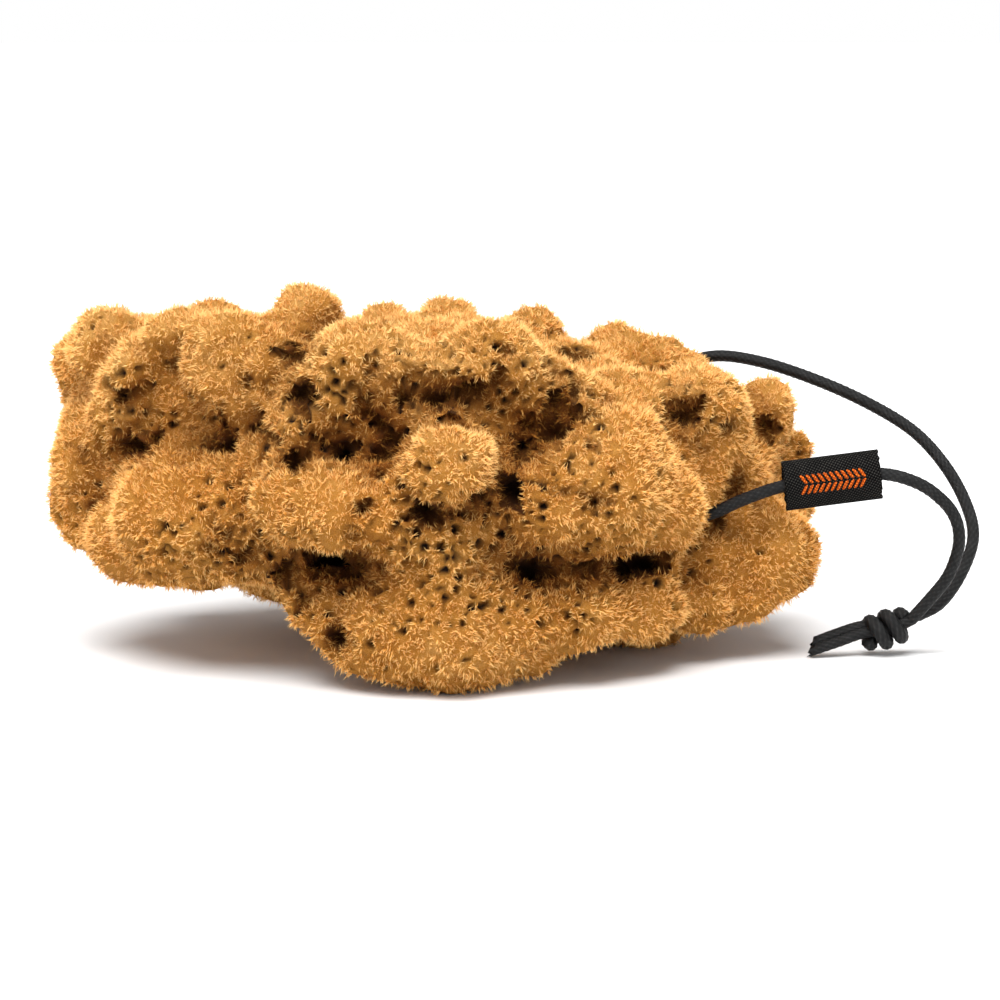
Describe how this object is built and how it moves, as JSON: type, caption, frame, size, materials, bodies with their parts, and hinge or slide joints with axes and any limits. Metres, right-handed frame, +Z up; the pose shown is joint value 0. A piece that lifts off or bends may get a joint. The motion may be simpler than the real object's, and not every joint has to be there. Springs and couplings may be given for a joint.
{
  "type": "natural bath sponge",
  "caption": "Lumpy natural sea sponge with open pits, on a knotted loop of black waxed cord that carries a small folded ribbon label; used for washing and hung by its cord.",
  "frame": {"origin": "under the middle of the sponge's box, on the surface that it rests on; the cord, knot and label are left out of that box", "axes": "+X along the sponge's length towards the cord loop, -Y out of the sponge's front, +Z up"},
  "size_m": [0.1813, 0.1032, 0.0726],
  "materials": {
    "sponge": "dry matte sponge fibre, golden tan",
    "cord": "black waxed braid, slight sheen",
    "label": "black woven satin ribbon with an orange woven pattern"
  },
  "bodies": {
    "root": {"sponge": "sponge", "cord": "cord", "knot": "cord", "label": "label"}
  },
  "joints": []
}
